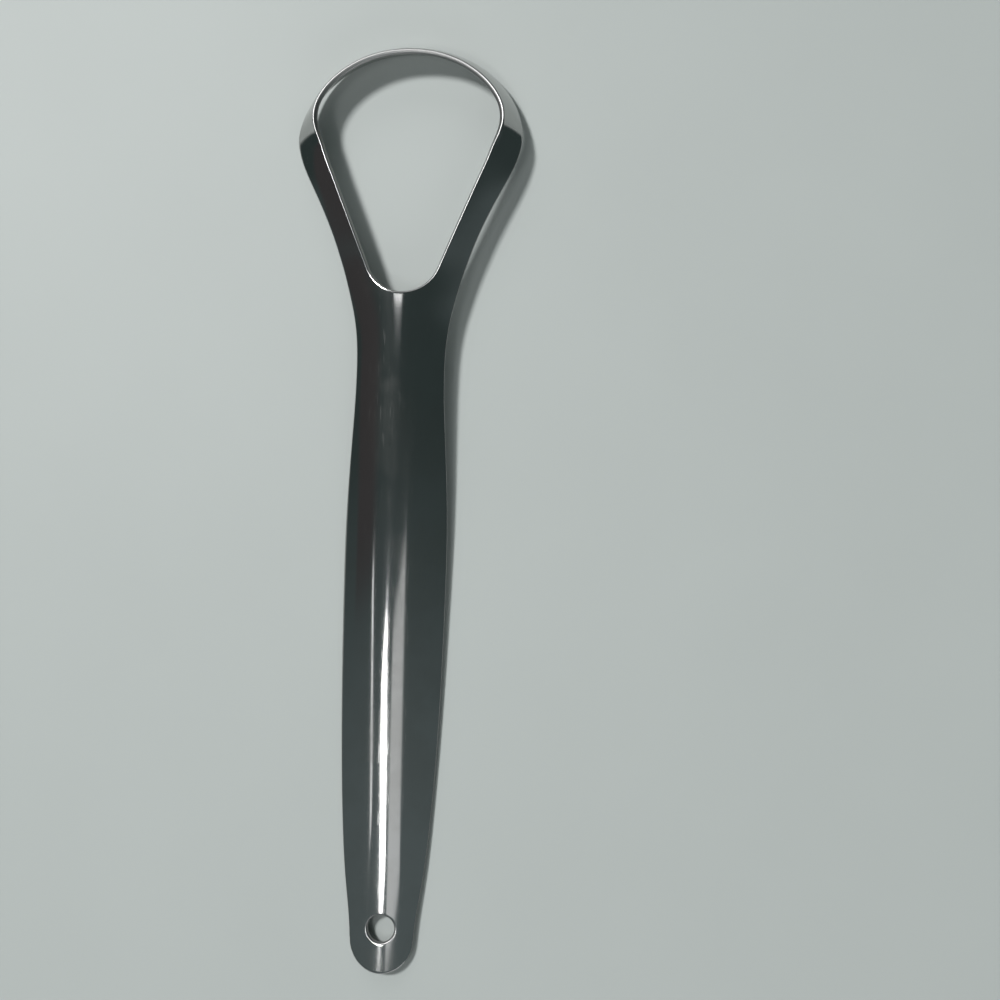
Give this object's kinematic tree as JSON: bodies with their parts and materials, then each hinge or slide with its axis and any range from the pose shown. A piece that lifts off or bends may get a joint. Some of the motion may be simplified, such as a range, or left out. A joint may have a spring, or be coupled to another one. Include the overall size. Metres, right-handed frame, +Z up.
{
  "type": "tongue scraper",
  "caption": "Pressed stainless steel tongue scraper: long arched handle with a hang hole, open rounded-triangle head and a turned-down scraping lip.",
  "frame": {"origin": "On the table under the middle of the part's box, with the lip's lower edge at the tip on z = 0 and the handle's edges close above it.", "axes": "+Y runs along the handle from its round end to the tip of the head, +Z is up from the table to the crown of the arch, +X is to the right."},
  "size_m": [0.037, 0.152, 0.0065],
  "materials": {
    "polished_steel": "polished"
  },
  "bodies": {
    "root": {"scraper_body": "polished_steel"}
  },
  "joints": []
}
